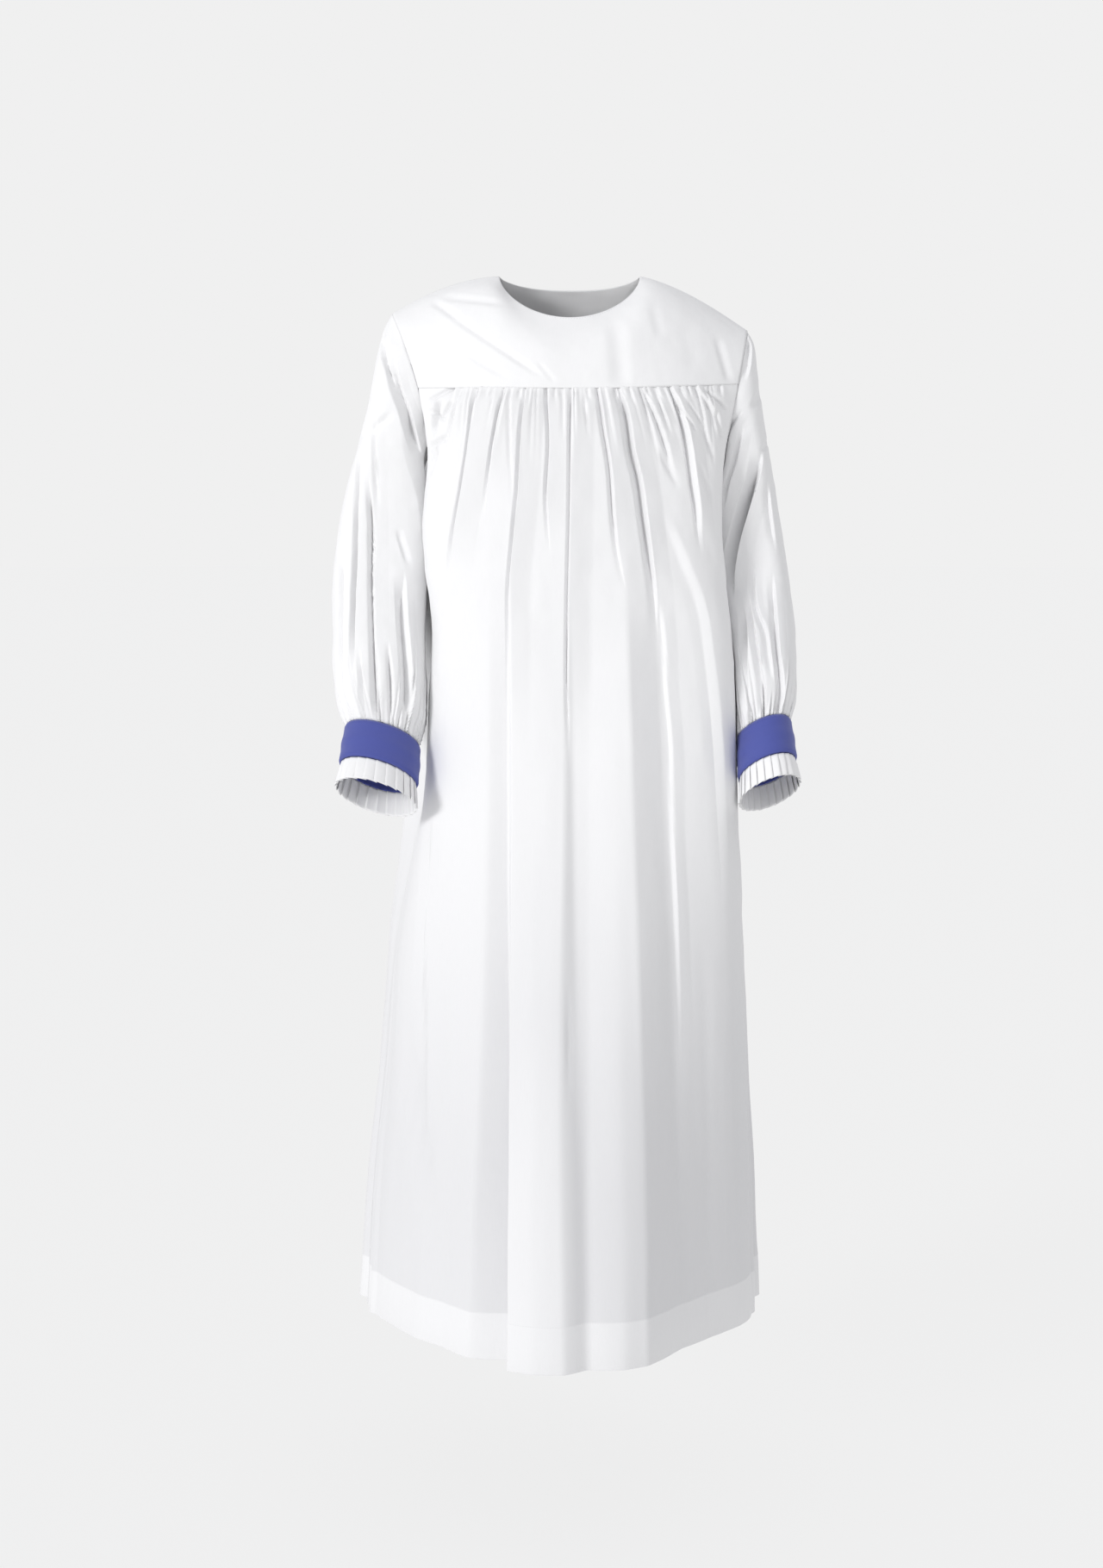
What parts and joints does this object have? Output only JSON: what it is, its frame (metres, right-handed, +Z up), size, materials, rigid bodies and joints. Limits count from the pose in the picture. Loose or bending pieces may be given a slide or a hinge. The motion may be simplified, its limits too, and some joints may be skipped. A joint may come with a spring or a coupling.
{
  "type": "rochet",
  "caption": "White bishop's rochet: plain yoke, gathered body to the calf, full sleeves gathered into blue wristbands with pleated frills.",
  "frame": {"origin": "middle of the neck opening, level with its two side points, where the wearer's shoulders and neck hold the rochet", "axes": "+Z up the wearer, from the hem to the neck; -Y out of the front; +X towards the wearer's left sleeve"},
  "size_m": [0.5618, 0.4832, 1.266],
  "materials": {
    "white_cotton": "plain-woven white polyester and cotton, matt, with a faint sheen",
    "blue_cloth": "plain-woven royal blue cloth, matt",
    "white_frill": "white cloth pressed into knife pleats, matt"
  },
  "bodies": {
    "root": {"front_yoke": "white_cotton", "back_yoke": "white_cotton", "front_panel": "white_cotton", "back_panel": "white_cotton", "sleeve_right": "white_cotton", "sleeve_left": "white_cotton", "cuff_right": "blue_cloth", "cuff_left": "blue_cloth", "frill_right": "white_frill", "frill_left": "white_frill"}
  },
  "joints": []
}
